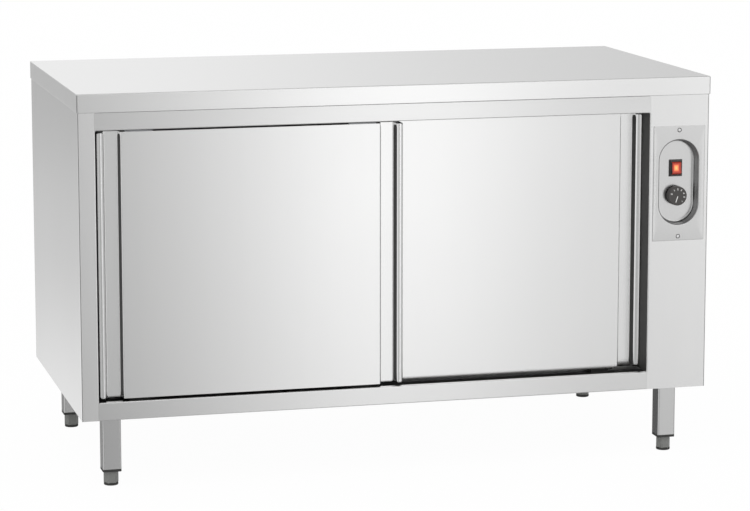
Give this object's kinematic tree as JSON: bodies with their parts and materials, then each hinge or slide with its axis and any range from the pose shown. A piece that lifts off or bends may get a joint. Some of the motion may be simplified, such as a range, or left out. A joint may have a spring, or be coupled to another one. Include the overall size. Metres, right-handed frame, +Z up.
{
  "type": "heated plate cabinet",
  "caption": "Stainless steel heated cabinet for plates with sliding doors, a side control column and adjustable feet.",
  "frame": {"origin": "the middle of the cabinet's footprint, on the floor", "axes": "+X along the width, to the control column; +Y from the doors to the back; +Z up"},
  "size_m": [1.4, 0.7, 0.85],
  "materials": {
    "outer_steel": "fine vertical brushing",
    "worktop_steel": "fine lengthwise brushing",
    "leg_steel": "satin tube",
    "inner_steel": "mill finish sheet",
    "plate_steel": "satin, pressed",
    "track_steel": "zinc plated",
    "fasteners": "bright",
    "guide_plastic": "matt black",
    "black_plastic": "matt black",
    "knob_plastic": "satin black",
    "foot_plastic": "matt black",
    "rocker_lens": "translucent red",
    "nylon": "natural",
    "mineral_wool": "fibrous",
    "motor": "painted",
    "heater": "heat tinted",
    "copper": "bright",
    "aluminium": "mill",
    "terminal_plastic": "matt"
  },
  "bodies": {
    "cabinet": {"worktop": "worktop_steel", "worktop_stiffeners": "inner_steel", "left_side_panel": "outer_steel", "right_side_panel": "outer_steel", "left_stile": "outer_steel", "control_column": "outer_steel", "top_rail": "outer_steel", "bottom_rail": "outer_steel", "rear_panel": "outer_steel", "base_panel": "outer_steel", "left_liner": "inner_steel", "partition": "inner_steel", "rear_liner": "inner_steel", "ceiling_liner": "inner_steel", "deck": "inner_steel", "insulation_boards": "mineral_wool", "shelf_rail_left": "inner_steel", "shelf_rail_right": "inner_steel", "shelf": "inner_steel", "door_track": "track_steel", "bottom_guide": "guide_plastic", "control_plate": "plate_steel", "plate_screws": "fasteners", "switch_body": "black_plastic", "thermostat_body": "terminal_plastic", "thermostat_probe": "copper", "fan_motor": "motor", "fan_bracket": "track_steel", "heating_element": "heater", "terminal_block": "terminal_plastic", "cable_gland": "black_plastic", "leg_front_left": "leg_steel", "leg_front_right": "leg_steel", "leg_rear_left": "leg_steel", "leg_rear_right": "leg_steel", "carcass_screws": "fasteners", "leg_inserts": "black_plastic"},
    "front_door": {"front_door_skin": "outer_steel", "front_door_back": "inner_steel", "front_door_filling": "mineral_wool", "front_door_hangers": "track_steel", "front_door_glides": "nylon"},
    "rear_door": {"rear_door_skin": "outer_steel", "rear_door_back": "inner_steel", "rear_door_filling": "mineral_wool", "rear_door_hangers": "track_steel", "rear_door_glides": "nylon"},
    "front_roller_a": {"front_roller_left": "nylon"},
    "front_roller_b": {"front_roller_right": "nylon"},
    "rear_roller_a": {"rear_roller_left": "nylon"},
    "rear_roller_b": {"rear_roller_right": "nylon"},
    "knob": {"thermostat_knob": "knob_plastic", "thermostat_shaft": "fasteners"},
    "switch_rocker": {"rocker": "rocker_lens"},
    "fan": {"fan_wheel": "aluminium"},
    "foot_a": {"foot_front_left": "foot_plastic"},
    "foot_b": {"foot_front_right": "foot_plastic"},
    "foot_c": {"foot_rear_left": "foot_plastic"},
    "foot_d": {"foot_rear_right": "foot_plastic"}
  },
  "joints": [
    {"name": "front_door_slide", "type": "slide", "parent": "cabinet", "child": "front_door", "axis": [1, 0, 0], "range_m": [0, 0.554]},
    {"name": "rear_door_slide", "type": "slide", "parent": "cabinet", "child": "rear_door", "axis": [1, 0, 0], "range_m": [-0.554, 0]},
    {"name": "front_roller_a_spin", "type": "hinge", "parent": "front_door", "child": "front_roller_a", "pos_m": [-0.567, -0.319, 0.7855], "axis": [0, 1, 0], "range_deg": [-10, 2900]},
    {"name": "front_roller_b_spin", "type": "hinge", "parent": "front_door", "child": "front_roller_b", "pos_m": [-0.083, -0.319, 0.7855], "axis": [0, 1, 0], "range_deg": [-10, 2900]},
    {"name": "rear_roller_a_spin", "type": "hinge", "parent": "rear_door", "child": "rear_roller_a", "pos_m": [-0.013, -0.288, 0.7855], "axis": [0, 1, 0], "range_deg": [-2900, 10]},
    {"name": "rear_roller_b_spin", "type": "hinge", "parent": "rear_door", "child": "rear_roller_b", "pos_m": [0.471, -0.288, 0.7855], "axis": [0, 1, 0], "range_deg": [-2900, 10]},
    {"name": "knob_turn", "type": "hinge", "parent": "cabinet", "child": "knob", "pos_m": [0.63, -0.325, 0.58525], "axis": [0, 1, 0], "range_deg": [0, 270]},
    {"name": "rocker_rock", "type": "hinge", "parent": "cabinet", "child": "switch_rocker", "pos_m": [0.63, -0.3265, 0.64575], "axis": [1, 0, 0], "range_deg": [0, 12]},
    {"name": "fan_spin", "type": "hinge", "parent": "cabinet", "child": "fan", "pos_m": [0.591, 0.04, 0.48], "axis": [1, 0, 0], "continuous": true},
    {"name": "foot_a_height", "type": "slide", "parent": "cabinet", "child": "foot_a", "axis": [0, 0, 1], "range_m": [-0.03, 0]},
    {"name": "foot_b_height", "type": "slide", "parent": "cabinet", "child": "foot_b", "axis": [0, 0, 1], "range_m": [-0.03, 0]},
    {"name": "foot_c_height", "type": "slide", "parent": "cabinet", "child": "foot_c", "axis": [0, 0, 1], "range_m": [-0.03, 0]},
    {"name": "foot_d_height", "type": "slide", "parent": "cabinet", "child": "foot_d", "axis": [0, 0, 1], "range_m": [-0.03, 0]}
  ],
  "couplings": [
    {"joint": "front_roller_a_spin", "follows": "front_door_slide", "rad_per_m": 90.909},
    {"joint": "front_roller_b_spin", "follows": "front_door_slide", "rad_per_m": 90.909},
    {"joint": "rear_roller_a_spin", "follows": "rear_door_slide", "rad_per_m": 90.909},
    {"joint": "rear_roller_b_spin", "follows": "rear_door_slide", "rad_per_m": 90.909}
  ]
}
